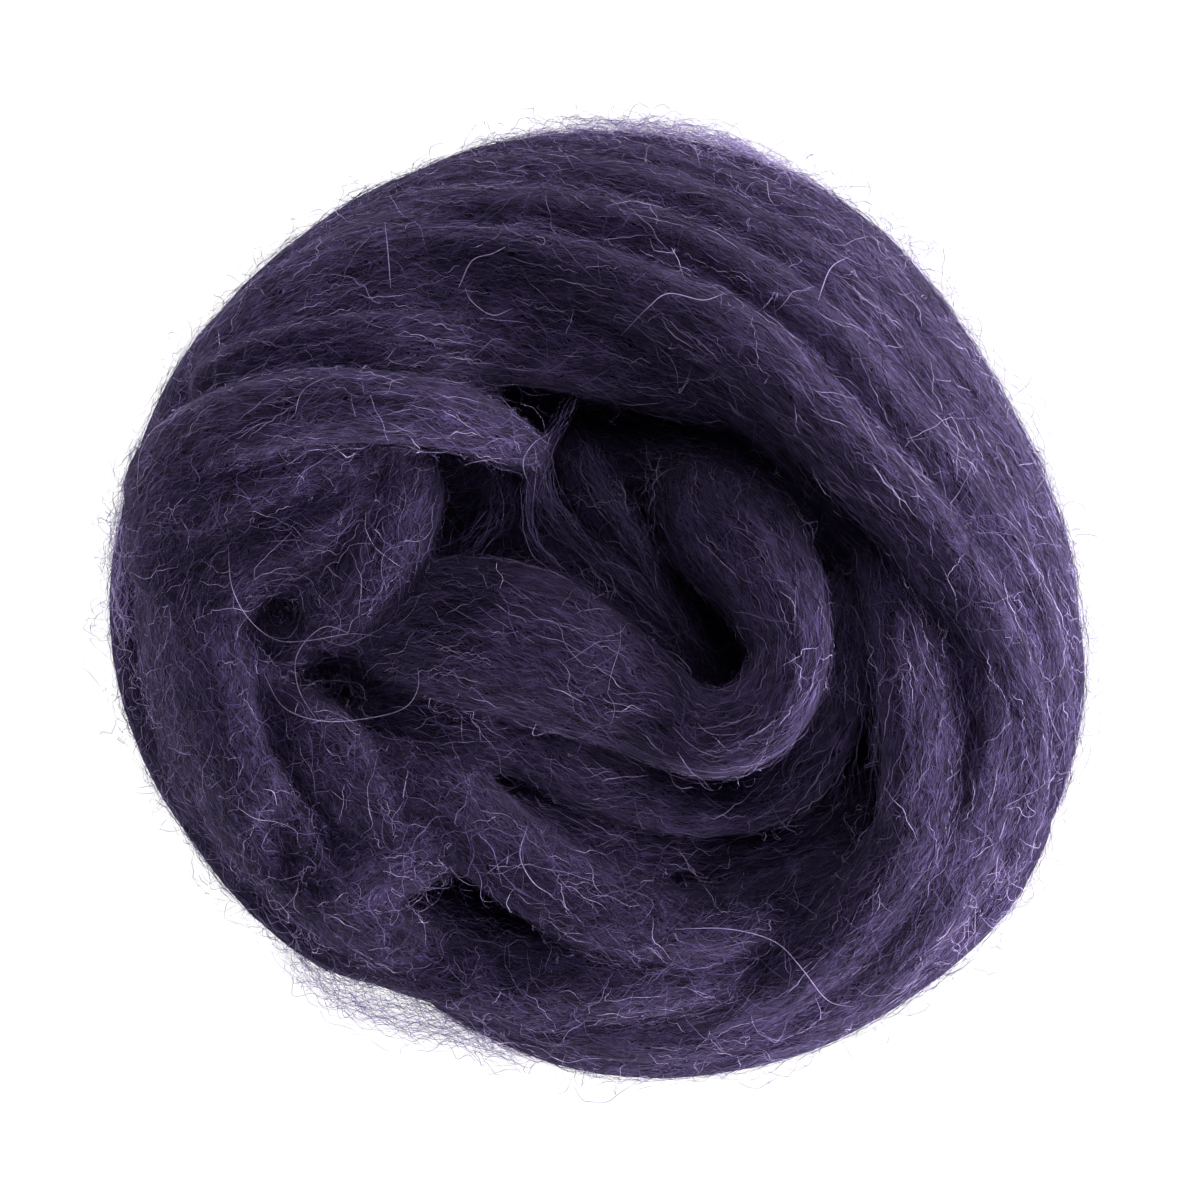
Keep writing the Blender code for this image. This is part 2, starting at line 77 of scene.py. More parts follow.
# Strands: the runs of rope in the nest, each with its lean, scatter and ridges, and then rows of
# x, y, z, half_width, half_height. lean is how far the right edge drops, seen along the way that it runs.
STRANDS = {
    "belly": (28, 10, 0.8, (
        (-58, 28, 42, 5, 5), (-49, 38.5, 49, 8.5, 7), (-30, 47, 52, 12, 8), (-6, 45, 52, 13, 8),
        (14, 38.5, 50, 11, 7), (28, 31, 46, 8, 6),
    )),
    "inner_wall": (42, 10, 0.8, (
        (-14, 54, 50, 8, 7), (12, 44, 53.5, 10, 8), (29, 33, 53.5, 10, 8), (41, 20, 51, 9, 7.5),
        (49, 7, 45, 7, 6),
    )),
    "left_lip": (0, 9, 0.8, (
        (-66, 12, 44, 5, 5), (-63, 19, 53, 6, 6), (-54.5, 26, 61, 6, 6), (-43, 29.3, 66.5, 5.4, 6),
        (-30, 29.3, 67.5, 5.2, 6), (-21.5, 28, 65, 4.8, 5.4), (-15, 25.8, 61.5, 4.2, 4.6),
        (-10.5, 23, 56, 3.2, 3.6), (-8.5, 20, 49, 2, 2.6),
    )),
    "upper_ribbon": (0, 10, 0.7, (
        (-58, 32, 50, 3, 4), (-50, 36.5, 58, 2.8, 4.5), (-39, 39.6, 62, 2.4, 4), (-28, 40.6, 62, 2.3, 4),
        (-20, 39.4, 58, 2.6, 4), (-16, 36, 48, 2.2, 4),
    )),
    "lower_ribbon": (0, 10, 0.7, (
        (-57, 31, 52, 1.8, 4), (-46, 34.4, 60, 1.4, 4), (-32, 35.4, 61.5, 1.3, 4),
        (-22, 34.6, 58, 1.5, 4), (-14, 31.5, 46, 1.8, 4),
    )),
    "left_flank": (0, 28, 0.3, (
        (-65, 2, 45, 7, 7), (-61.5, 12, 50.5, 8, 7), (-55, 18.5, 56, 8.5, 6.5), (-46, 21.5, 58, 8, 6),
        (-36, 22.3, 55, 6.5, 5.5), (-28, 22, 49, 5, 5),
    )),
    "lobe": (0, 28, 0.5, (
        (-26, 22, 46, 5, 6), (-30.5, 14, 53.5, 7.5, 8), (-34.5, 6, 55, 9, 8), (-40.5, -0.5, 51.5, 8, 7),
        (-50, -4, 46, 7, 6),
    )),
    "lobe_side": (0, 25, 0.3, (
        (-59, 0, 48.5, 8, 6.5), (-50, 8.5, 54, 9, 6.5), (-40, 14.5, 56.5, 9, 6.5), (-31, 18, 52.5, 7, 6),
    )),
    "fold": (0, 8, 0.8, (
        (-40, -6, 40, 6, 6), (-31, -4.5, 47, 8.5, 8), (-19, -3.5, 53, 11, 10), (-6, -7, 54, 11, 10),
        (5, -13, 53.5, 8.5, 9), (13, -18, 54, 6.3, 8), (20, -18.6, 56, 5.8, 8),
        (26.4, -14.5, 57.5, 5.4, 7.5), (29, -5.5, 57.5, 5.6, 7.5), (25.6, 4, 54.5, 8.2, 8),
        (20.5, 11, 49, 10, 8), (17, 15, 39, 9, 8), (15.5, 16, 26, 8, 8),
    )),
    "second_fold": (0, 9, 0.6, (
        (-36, -13, 43, 5, 6), (-21, -16.5, 46.5, 5, 6.5), (-9, -21, 46.5, 4.6, 6), (1, -25.6, 46, 4.2, 6),
        (11, -28.6, 45, 3.8, 6), (20, -29, 44.5, 3.7, 6), (28, -26.3, 45.5, 3.6, 6),
        (33.4, -20, 47, 3.3, 5.5), (36.6, -11, 48.5, 3.3, 5.5), (37.6, -3, 48, 3.4, 5.5),
        (37.5, 5, 44.5, 3.6, 5.5),
    )),
    "third_fold": (0, 10, 0.6, (
        (-15, -25, 37, 3, 5), (-8, -29, 42, 3, 5), (2, -33.6, 42.5, 3, 5), (12, -35.5, 41.5, 2.8, 5),
        (22, -34.7, 40, 2.8, 5), (31, -30.7, 37, 3, 5), (37, -25.5, 33, 3, 5),
    )),
    "deep_strand": (0, 20, 0.5, (
        (-12, 27, 30, 7, 7), (5, 23, 32, 8, 7), (17, 22.5, 37, 7.5, 7), (27, 20, 43, 6.5, 6.5),
        (36, 14.5, 45, 6, 6), (43, 7, 43, 5, 6),
    )),
    "twist_left": (0, 14, 0.6, (
        (-9, 25, 51, 1.8, 2.2), (-9.5, 18, 49.5, 2.4, 2.6), (-7, 10, 47.5, 2.6, 2.8),
        (-1, 4.5, 45.5, 2.8, 3), (7, -1.5, 42, 2.8, 3), (14, -7.5, 38, 2.6, 3), (18, -12, 34, 2.4, 3),
    )),
    "twist_right": (0, 14, 0.6, (
        (-4, 26, 38, 3, 3), (-1, 17, 39, 3.2, 3.5), (4, 9.5, 41.5, 3.2, 3.5), (10, 3, 41, 3, 3.5),
        (16, -3, 38, 3, 3.5), (21, -9, 33, 3, 3.5),
    )),
    "right_inner": (0, 10, 0.6, (
        (41.5, 15, 40, 5, 5), (45, 7, 46, 8, 6), (50, -6, 50, 12, 6), (52, -20, 50, 13, 6),
        (50, -33, 46, 11.5, 6.5), (42, -44, 41.5, 9.5, 7), (30.5, -53, 37, 8, 7), (17, -59, 34.5, 7, 6),
        (3, -61, 32, 6, 6),
    )),
    "right_outer": (0, 9, 0.7, (
        (54, 13, 46, 6, 5), (58.5, 2, 48.5, 9.5, 6), (60.5, -10, 49, 10, 6), (60, -22, 48, 9.5, 6),
        (55.5, -35, 44.8, 8.5, 5.5), (49, -47, 40.5, 7.5, 5), (39, -56.5, 34.5, 6, 5),
        (25, -62.5, 30, 5.5, 5),
    )),
    "bottom_front": (0, 30, 0.4, (
        (42, -38, 35, 5, 6), (29, -45, 38.5, 7, 6), (14, -48.5, 41, 7.5, 6.5), (1, -45, 43.5, 7, 7),
        (-12, -37, 45.5, 6, 7), (-23.5, -28.5, 46, 7.2, 7), (-35, -26, 45, 7.5, 6.5),
        (-45, -27, 42, 6, 6),
    )),
    "bottom_middle": (0, 30, 0.4, (
        (36, -48, 34, 5, 5), (21, -53.5, 38, 6, 5.5), (6, -55.5, 40, 6, 6), (-8, -54, 39.5, 5, 6),
        (-17, -54, 35, 4, 5),
    )),
    "bottom_outer": (0, 10, 0.6, (
        (66, -28, 34, 5, 5), (58, -43, 33, 5.5, 5), (45, -54.5, 31, 6, 5), (30, -62, 29, 6, 5.5),
        (14, -65.5, 29, 6, 5.5), (-1, -64, 31, 6, 6), (-14, -59, 33, 6, 6), (-26, -53, 33, 5, 5),
    )),
    "left_outer": (0, 36, 0.3, (
        (-61, 10, 46, 11, 7), (-60, -4, 45.5, 12.5, 7), (-57, -18, 44.5, 13, 7), (-51, -30, 43, 12.5, 7),
        (-43.5, -40, 40.5, 11.5, 6.5), (-33, -48, 38, 9, 6), (-20, -54, 34.5, 7, 5.5),
        (-8, -60, 32, 5.5, 5.5),
    )),
    "left_inner": (0, 35, 0.2, (
        (-55, 8, 47, 8, 6.5), (-53, -4, 46, 7, 6.5), (-52, -16, 45, 8, 7), (-49, -26, 43, 8, 7),
        (-45, -35, 40, 7, 6),
    )),
    "tangle": (0, 55, 0.2, (
        (-51, -12, 45.5, 7, 6.5), (-44, -20, 46, 9, 7), (-37, -27, 45.5, 10, 7), (-31, -34, 44, 9, 6.5),
        (-26, -39, 41, 7, 5),
    )),
    "corner": (0, 50, 0.2, (
        (-16, -30, 44, 5, 6), (-25, -33.5, 45, 7.6, 7), (-33, -37, 44, 8.5, 7),
        (-38.5, -43, 41.5, 9, 6.5), (-37, -50, 36, 8, 6),
    )),
    "bottom_left": (0, 40, 0.3, (
        (-45, -41, 36, 4, 5), (-34, -50, 37, 5, 5.5), (-22, -54, 38, 5.6, 6), (-9, -57.5, 37, 6, 6),
        (6, -58, 34.5, 5, 5.5),
    )),
    "left_middle": (0, 45, 0.2, (
        (-52.5, -5, 45.5, 5, 6), (-50, -14, 46, 6, 6.5), (-46.5, -23, 45.5, 6.5, 6.5),
        (-42, -31, 44, 6.5, 6.5), (-37, -38, 42, 6, 6),
    )),
}

# The wool inside, which closes the gaps under the strands: x, y, z, semi_x, semi_y, semi_z
INNER_MASSES = (
    (0, 0, 16, 59, 58, 17.5), (-4, -16, 29, 36, 26, 12), (-46, 6, 32, 20, 30, 12),
    (-6, 38, 32, 36, 9, 14), (-22, 22, 28, 16, 12, 10), (-22, -46, 29, 15, 9, 9),
    (-36, -28, 38, 13, 13, 12), (-54, -14, 38, 12, 22, 12),
)

# A ring of wool behind the outer winding, highest at the winding's high side. The pairs are its usual size
# and how far that varies round it.
RING_RADIUS = 55
RING_LENGTH = 1.025  # in turns, so that its ends overlap
RING_MIDDLE = (27, 6)
RING_HALF_HEIGHT = (14, 5)
RING_HALF_WIDTH = 10

ROUND_SIDES = 48  # points round a strand
STEP_ALONG = 1.6  # from one cross-section of a strand to the next
FLATNESS = 2.1  # exponent of a strand's superellipse section
END_SIZE = 0.14  # of a strand's last cross-section beside its full size
LEAST_STRETCH = 0.4  # the least that the flow map may shrink to
WAY_SHARE = 0.2  # of a strand's own way in the flow map's direction
MAP_SPREAD = 900  # each strand's part of the flow map starts at its own place within this
INNER_SCATTER = 20
MASS_SCATTER = 30
MASS_DETAIL = 5
SKIN_VOXEL = 0.85
SKIN_TRIANGLES = 110_000
SOFTENING = 0.5
SOFTENING_ROUNDS = 3
STRAND_SEED = 11
TINY = 1e-9

# Slivers: bundles of fibres that ridge the rope: width, depth of the ridge, length over which it wanders
SLIVERS = (
    (9.0, 0.75, 46),
    (5.2, 0.7, 31),
    (3.3, 0.4, 22),
)

ANY_PHASE = 6.28
SLIVER_SWINGS = ((1.3, 1), (0.8, 0.37))  # how far a ridge wanders round, over how much of its length
SLIVER_STRENGTH = (0.7, 0.3, 1.7)  # the middle, how far it varies, and how often
SLIVER_UNEVENNESS = 1.1
MEAN_RIDGE = 0.64  # taken off, so that the strand keeps its size

# Small hollows pressed into the loose wool: x, y, radius, depth
HOLLOWS = (
    (-46.5, -0.8, 3.4, 7), (-40.5, -8.6, 3.4, 6), (-36.5, -12.5, 2.6, 4), (-47.5, -33, 3.2, 3),
    (-45.5, -37.5, 3.4, 4), (-42, -41, 2.8, 2),
)
HOLLOW_LEVEL = 30  # only wool above this level is pressed in
# Where the fibres curl round a place: x, y, reach
SWIRLS = ((-46.5, -0.8, 11), (-39, -10, 7))
SWIRL_PULL = 1.5  # of the curl beside the flow


# ---- Curves and tubes ----


def catmull_rom(before, start, end, after, t):
    """The smooth curve from start to end, which t from 0 to 1 runs through."""
    slope = end - before
    bend = 2 * before - 5 * start + 4 * end - after
    twist = 3 * start - before - 3 * end + after
    return 0.5 * (2 * start + slope * t + bend * t**2 + twist * t**3)


def smooth_curve(rows, step):
    rows = np.array(rows, float)
    before, after = 2 * rows[0] - rows[1], 2 * rows[-1] - rows[-2]
    knots = np.vstack([before, rows, after])
    found = []
    for a, b, c, d in zip(knots, knots[1:], knots[2:], knots[3:]):
        count = max(2, round(float(np.linalg.norm(c[:3] - b[:3])) / step))
        t = np.linspace(0, 1, count, endpoint=False)[:, None]
        found.append(catmull_rom(a, b, c, d, t))
    return np.vstack(found + [rows[-1:]])


def lengths_along(points):
    """How far along a path each of its points lies."""
    return np.concatenate([[0], np.cumsum(np.linalg.norm(np.diff(points, axis=0), axis=1))])


def outline_radius(bearing):
    table = np.array(OUTLINE, float)
    turned = np.vstack([table - (360, 0), table, table + (360, 0)])
    at = np.mod(bearing, 360)
    low = np.clip(np.searchsorted(turned[:, 0], at, side="right") - 1, 1, len(turned) - 3)
    a, b, c, d = (turned[low + k, 1] for k in (-1, 0, 1, 2))
    t = (at - turned[low, 0]) / (turned[low + 1, 0] - turned[low, 0])
    return catmull_rom(a, b, c, d, t)


def unit(vectors):
    return vectors / np.maximum(np.linalg.norm(vectors, axis=-1, keepdims=True), TINY)


def form_up(points):
    """The direction that points out of the nest's form at each point."""
    height = np.where(points[:, 2] > MIDDLE_HEIGHT, RISE, DROP)
    level = points[:, :2] / MIDDLE_RADIUS**2
    return unit(np.column_stack([level, (points[:, 2] - MIDDLE_HEIGHT) / height**2]))


def winding_points(winding, turn):
    first, last = winding.latitudes
    latitude = np.radians(first + (last - first) * (turn / winding.turns))
    round_axis = math.pi - 2 * math.pi * turn
    tilt = math.radians(winding.tilt)
    high = math.radians(winding.high_side)
    forward = np.cos(latitude) * np.cos(round_axis)
    side = np.cos(latitude) * np.sin(round_axis)
    lift = np.sin(latitude)
    level = forward * math.cos(tilt) - lift * math.sin(tilt)
    height = lift * math.cos(tilt) + forward * math.sin(tilt)
    x = level * math.cos(high) - side * math.sin(high)
    y = level * math.sin(high) + side * math.cos(high)
    fuller = (np.hypot(x, y) ** FULLNESS + np.abs(height) ** FULLNESS) ** (-1 / FULLNESS)
    x, y, height = (np.where(height < 0, fuller, 1) * value for value in (x, y, height))
    depth = winding.half_height + winding.inset
    radius = outline_radius(np.degrees(np.arctan2(y, x))) - depth
    rise = np.where(height > 0, RISE, DROP) - depth
    return np.column_stack([x * radius, y * radius, MIDDLE_HEIGHT + rise * height])


def winding_rows(winding):
    turn = np.linspace(0, winding.turns, int(winding.turns * POINTS_A_TURN))
    middle = winding_points(winding, turn)
    way = unit(np.gradient(middle, axis=0))
    to_next = winding_points(winding, turn + 0.5) - winding_points(winding, turn - 0.5)
    to_next -= way * (to_next * way).sum(axis=1)[:, None]
    half_width = TURN_OVERLAP * 0.5 * np.linalg.norm(to_next, axis=1)
    return np.column_stack([middle, half_width, np.full_like(turn, winding.half_height)])


def sliver_ridges(travelled, angle, perimeter, random):
    """How far the slivers stand out at each (ring, side)."""
    out = np.zeros((len(travelled), len(angle)))
    middle, variation, pace = SLIVER_STRENGTH
    for width, depth, wander in SLIVERS:
        count = max(2, round(perimeter / width))
        phase = random.uniform(0, ANY_PHASE)
        for swing, share in SLIVER_SWINGS:
            phase = phase + swing * np.sin(travelled / (share * wander) + random.uniform(0, ANY_PHASE))
        strength = middle + variation * np.sin(travelled / wander * pace + random.uniform(0, ANY_PHASE))
        uneven = SLIVER_UNEVENNESS * np.sin(angle + random.uniform(0, ANY_PHASE))
        wave = np.abs(np.sin(0.5 * count * angle[None, :] + uneven[None, :] + phase[:, None]))
        out += depth * strength[:, None] * (wave - MEAN_RIDGE)
    return out


class Strands:
    """All the strands' surfaces as one list of faces, with each face's run and its place on the strand.

    origin is a point of each face, place is the flow map's value there, and along and across are its axes.
    """

    LISTS = ("points", "origin", "along", "across", "place", "scatter")

    def __init__(self):
        self.faces, self.count = [], 0
        self.lists = {name: [] for name in self.LISTS}

    def add(self, points, faces, origin, along, across, place, scatter):
        self.faces += [tuple(i + self.count for i in face) for face in faces]
        self.count += len(points)
        scatter = np.full(len(origin), float(scatter))
        for name, values in zip(self.LISTS, (points, origin, along, across, place, scatter)):
            self.lists[name].append(values)

    def join(self):
        for name, values in self.lists.items():
            setattr(self, name, np.concatenate(values))
        return self


def strip_quads(count, steps, sides):
    """The faces of strips of points (strip, step, side), each closed round unless it has two sides."""
    index = np.arange(count * steps * sides).reshape(count, steps, sides)
    after = np.roll(index, -1, axis=2)
    if sides == 2:
        index, after = index[..., :1], after[..., :1]
    return np.stack([index[:, :-1], after[:, :-1], after[:, 1:], index[:, 1:]], axis=-1).reshape(-1, 4)


def superellipse(value):
    return np.sign(value) * np.abs(value) ** (2 / FLATNESS)


def add_tube(strands, rows, lean, scatter, random, ridges):
    """A closed tube with a superellipse section, rounded ends and the ridges of its slivers."""
    middle, half_width, half_height = rows[:, :3], rows[:, 3], rows[:, 4]
    way = unit(np.gradient(middle, axis=0))
    up = form_up(middle)
    side = unit(np.cross(way, up))
    up = np.cross(side, way)
    turn = math.radians(lean)
    side, up = side * math.cos(turn) - up * math.sin(turn), up * math.cos(turn) + side * math.sin(turn)
    travelled = lengths_along(middle)
    to_end = np.minimum(travelled, travelled[-1] - travelled)
    rounding = np.sqrt(np.clip(1 - (1 - to_end / half_width) ** 2, END_SIZE**2, 1))
    rounding = np.where(to_end < half_width, rounding, 1)[:, None]
    angle = np.linspace(0, 2 * math.pi, ROUND_SIDES, endpoint=False)
    perimeter = math.pi * float(np.mean(half_width + half_height))
    ridge = ridges * sliver_ridges(travelled, angle, perimeter, random)
    wide = (half_width[:, None] + ridge) * rounding * superellipse(np.cos(angle))
    high = (half_height[:, None] + ridge) * rounding * superellipse(np.sin(angle))
    points = middle[:, None, :] + wide[:, :, None] * side[:, None, :] + high[:, :, None] * up[:, None, :]
    faces = strip_quads(1, len(middle), ROUND_SIDES).tolist()
    count = len(middle) * ROUND_SIDES
    faces += [range(ROUND_SIDES)[::-1], range(count - ROUND_SIDES, count)]
    along = np.diff(points, axis=0)
    across = (np.roll(points, -1, axis=1) - points)[:-1]
    across -= way[:-1, None] * (across * way[:-1, None]).sum(axis=2, keepdims=True)
    step = np.diff(travelled)[:, None, None]
    stretch = step / np.maximum(np.linalg.norm(along, axis=2, keepdims=True), LEAST_STRETCH * step)
    along = unit(along + WAY_SHARE * step * way[:-1, None]) * stretch
    side_step = perimeter / ROUND_SIDES
    length = np.linalg.norm(across, axis=2, keepdims=True)
    across = unit(across) * (side_step / np.maximum(length, LEAST_STRETCH * side_step))
    u, v = np.meshgrid(travelled[:-1], angle / (2 * math.pi) * perimeter, indexing="ij")
    place = np.stack([u, v], axis=2) + random.uniform(0, MAP_SPREAD, 2)
    ends = (slice(0, 1), slice(-1, None))
    strands.add(
        points.reshape(-1, 3),
        faces,
        *(
            np.concatenate([grid.reshape(-1, grid.shape[2])] + [grid[end, 0] for end in ends])
            for grid in (points[:-1], along, across, place)
        ),
        scatter,
    )


def inner_ring_rows():
    bearing = np.linspace(0, 2 * math.pi * RING_LENGTH, POINTS_A_TURN)
    toward_high = np.cos(bearing - math.radians(OUTER.high_side))
    middle, half_height = (a + b * toward_high for a, b in (RING_MIDDLE, RING_HALF_HEIGHT))
    x, y = RING_RADIUS * np.cos(bearing), RING_RADIUS * np.sin(bearing)
    return np.column_stack([x, y, middle, half_height, np.full_like(bearing, RING_HALF_WIDTH)])


def add_inner_wool(strands, random):
    add_tube(strands, inner_ring_rows(), 0, INNER_SCATTER, random, ridges=0)
    for x, y, z, semi_x, semi_y, semi_z in INNER_MASSES:
        mesh = bmesh.new()
        bmesh.ops.create_icosphere(mesh, subdivisions=MASS_DETAIL, radius=1)
        points = np.array([vertex.co for vertex in mesh.verts])
        faces = [[vertex.index for vertex in face.verts] for face in mesh.faces]
        mesh.free()
        points = points * (semi_x, semi_y, semi_z) + (x, y, z)
        middles = points[np.array(faces)].mean(axis=1)
        out = unit((middles - (x, y, z)) / np.square((semi_x, semi_y, semi_z)))
        along = unit(np.cross((0, 0, 1), out) + (1e-6, 0, 0))  # not zero at the poles
        across = np.cross(out, along)
        strands.add(points, faces, middles, along, across, middles[:, :2], MASS_SCATTER)


def all_strands():
    strands = Strands()
    random = np.random.default_rng(STRAND_SEED)
    for winding in (OUTER, UNDER):
        add_tube(strands, winding_rows(winding), 0, winding.scatter, random, winding.ridges)
    for lean, scatter, ridges, rows in STRANDS.values():
        add_tube(strands, smooth_curve(rows, STEP_ALONG), lean, scatter, random, ridges)
    add_inner_wool(strands, random)
    return strands.join()


# ---- The skin ----


def new_object(name, data):
    made = bpy.data.objects.new(name, data)
    bpy.context.scene.collection.objects.link(made)
    return made


def evaluated_mesh(made):
    graph = bpy.context.evaluated_depsgraph_get()
    return bpy.data.meshes.new_from_object(made.evaluated_get(graph))


def read_threes(data, name, kind=np.float32):
    values = np.empty(len(data) * 3, kind)
    data.foreach_get(name, values)
    return values.reshape(-1, 3)


def keep_largest_shell(data):
    """Keeps the outer skin alone."""
    mesh = bmesh.new()
    mesh.from_mesh(data)
    shells = []
    waiting = set(mesh.verts)
    while waiting:
        shell = [waiting.pop()]
        for vertex in shell:
            for edge in vertex.link_edges:
                other = edge.other_vert(vertex)
                if other in waiting:
                    waiting.remove(other)
                    shell.append(other)
        shells.append(shell)
    shells.sort(key=len)
    for shell in shells[:-1]:
        bmesh.ops.delete(mesh, geom=shell, context="VERTS")
    bmesh.ops.triangulate(mesh, faces=mesh.faces)
    mesh.to_mesh(data)
    mesh.free()


def fused_skin(strands):
    data = bpy.data.meshes.new("strands")
    data.from_pydata(strands.points * MM, [], strands.faces)
    source = new_object("strands", data)
    remesh = source.modifiers.new("fuse", "REMESH")
    remesh.mode = "VOXEL"
    remesh.voxel_size = SKIN_VOXEL * MM
    skin = evaluated_mesh(source)
    bpy.data.objects.remove(source)
    keep_largest_shell(skin)
    body = new_object("wool_body", skin)
    smooth = body.modifiers.new("soften", "SMOOTH")
    smooth.factor = SOFTENING
    smooth.iterations = SOFTENING_ROUNDS
    fewer = body.modifiers.new("fewer", "DECIMATE")
    fewer.ratio = SKIN_TRIANGLES / len(skin.polygons)
    final = evaluated_mesh(body)
    body.modifiers.clear()
    body.data = final
    places = read_threes(final.vertices, "co")
    for x, y, radius, depth in HOLLOWS:
        away = np.hypot(places[:, 0] - x * MM, places[:, 1] - y * MM) / (radius * MM)
        places[:, 2] -= depth * MM * np.exp(-(away**2)) * (places[:, 2] > HOLLOW_LEVEL * MM)
    places[:, 2] = np.maximum(places[:, 2], 0)
    final.vertices.foreach_set("co", places.ravel())
    final.update()
    final.shade_smooth()
    return body


class Skin:
    """The body's surface in millimetres, for laying fibres on it."""

    def __init__(self, data, strands):
        data.calc_loop_triangles()
        self.points = read_threes(data.vertices, "co").astype(float) / MM
        self.corners = read_threes(data.loop_triangles, "vertices", np.int32)
        self.tree = BVHTree.FromPolygons(self.points.tolist(), self.corners.tolist())
        a, b, c = (self.points[self.corners[:, k]] for k in range(3))
        cross = np.cross(b - a, c - a)
        self.area = 0.5 * np.linalg.norm(cross, axis=1)
        self.normal = unit(cross)
        self.middle = (a + b + c) / 3
        source = BVHTree.FromPolygons(strands.points.tolist(), strands.faces)
        self.nearest = np.array([source.find_nearest(p)[2] for p in self.middle.tolist()])
        flow = strands.along[self.nearest]
        for x, y, reach in SWIRLS:
            away = self.middle - (x, y, 0)
            away[:, 2] = 0
            share = np.exp(-((away**2).sum(axis=1)) / reach**2) * (self.middle[:, 2] > HOLLOW_LEVEL)
            around = np.cross((0, 0, 1), unit(away))
            sign = np.where((flow * around).sum(axis=1) < 0, -1, 1)
            flow = flow * (1 - share)[:, None] + (SWIRL_PULL * share * sign)[:, None] * around
        self.flow = unit(flow - self.normal * (flow * self.normal).sum(axis=1)[:, None])
        self.scatter = strands.scatter[self.nearest]

    def snap(self, points):
        """The nearest place on the skin to each point: places, faces."""
        found = [self.tree.find_nearest(p) for p in points.tolist()]
        return np.array([f[0] for f in found]), np.array([f[2] for f in found])


def map_flow(data, skin, strands):
    """A UV map in millimetres, u along the fibres and v across them."""
    near = skin.nearest
    away = skin.points[skin.corners] - strands.origin[near][:, None, :]
    u = (away * strands.along[near][:, None, :]).sum(axis=2) + strands.place[near, :1]
    v = (away * strands.across[near][:, None, :]).sum(axis=2) + strands.place[near, 1:]
    layer = data.uv_layers.new(name="flow")
    loops = read_threes(data.loop_triangles, "loops", np.int32)
    values = np.zeros((len(data.loops), 2), np.float32)
    values[loops.ravel()] = np.stack([u, v], axis=-1).reshape(-1, 2)
    layer.data.foreach_set("uv", values.ravel())


# ---- Fibres ----

KEPT_WAY = 0.4  # how much of its last way a fibre keeps at each step
KEPT_WANDER = 0.75  # how much of its last wander it keeps
NEW_WANDER = 0.45
ROLL_WANDER = 0.3  # how much a ribbon's roll changes along it
RIBBON_TIP = 0.25  # of the width at a ribbon's tip beside its middle's
HAIR_TIP = 0.3
TIP_TAPER = 3
HAIR_CORNERS = (90, 210, 330)
WAVE_HEIGHTS = (0.7, 0.5)
LOWEST = 0.1  # above the floor
BAKE_MARGIN = 0.02


def turned(vectors, axes, angle):
    """vectors turned about unit axes that they lie square to."""
    return vectors * np.cos(angle)[:, None] + np.cross(axes, vectors) * np.sin(angle)[:, None]


def trace(skin, seeds, faces, length, steps, scatter, random):
    """Paths over the skin along its flow: places and normals, both (fibre, step, 3)."""
    count = len(seeds)
    stride = (length / steps)[:, None]
    sign = random.choice((-1.0, 1.0), count)[:, None]
    lean = np.radians(scatter) * random.standard_normal(count)
    wander = np.zeros(count)
    here, face = seeds, faces
    way = turned(skin.flow[face] * sign, skin.normal[face], lean)
    places, normals = [here], [skin.normal[face]]
    for _ in range(steps):
        wander = KEPT_WANDER * wander + NEW_WANDER * np.radians(scatter) * random.standard_normal(count)
        flow = skin.flow[face]
        flow = flow * np.sign((flow * way).sum(axis=1) + TINY)[:, None]
        aim = turned(flow, skin.normal[face], lean + wander)
        way = unit(KEPT_WAY * way + (1 - KEPT_WAY) * aim)
        here, face = skin.snap(here + way * stride)
        places.append(here)
        normals.append(skin.normal[face])
    return np.stack(places, axis=1), np.stack(normals, axis=1)


def smoothed(paths, rounds):
    for _ in range(rounds):
        paths = paths.copy()
        paths[:, 1:-1] = 0.5 * paths[:, 1:-1] + 0.25 * (paths[:, :-2] + paths[:, 2:])
    return paths


def square_axes(paths, normals):
    """Directions square to each path: along the skin, and off it."""
    way = unit(np.gradient(paths, axis=1))
    side = unit(np.cross(way, normals))
    return side, np.cross(side, way)


def tapered(half_width, steps, tip):
    """The half width at each (fibre, step)."""
    to_end = np.minimum(np.arange(steps), np.arange(steps)[::-1])
    return (half_width[:, None] * np.minimum(1, tip + TIP_TAPER * to_end / steps))[..., None]


def rolls(random, most, count, steps):
    return random.uniform(-most, most, (count, 1)) + ROLL_WANDER * random.standard_normal((count, steps))


def waves(random, length, steps, shortest, longest):
    """Smooth waves (fibre, step) of about height 1, with wavelengths from shortest to longest."""
    place = np.arange(steps + 1)[None, :] * (length / steps)[:, None]
    one_each = (len(length), 1)
    out = 0
    for height in WAVE_HEIGHTS:
        wave = random.uniform(shortest, longest, one_each)
        out = out + height * np.sin(2 * math.pi * place / wave + random.uniform(0, 2 * math.pi, one_each))
    return out


def above_floor(paths):
    paths[..., 2] = np.maximum(paths[..., 2], LOWEST)
    return paths


def moved(paths, normals, lift, curl, rounds=0):
    """Paths smoothed, raised off the skin by lift and shifted sideways by curl, both (fibre, step)."""
    side = square_axes(paths, normals)[0]
    return above_floor(smoothed(paths, rounds) + normals * lift[..., None] + side * curl[..., None])


def straight_up(paths):
    return np.broadcast_to((0.0, 0.0, 1.0), paths.shape)


def ribbons(paths, normals, half_width, roll):
    """Points (fibre, step, 2, 3) of flat ribbons, each rolled about its own run."""
    side, off = square_axes(paths, normals)
    side = side * np.cos(roll)[..., None] + off * np.sin(roll)[..., None]
    out = side * tapered(half_width, paths.shape[1], RIBBON_TIP)
    return np.stack([paths - out, paths + out], axis=2)


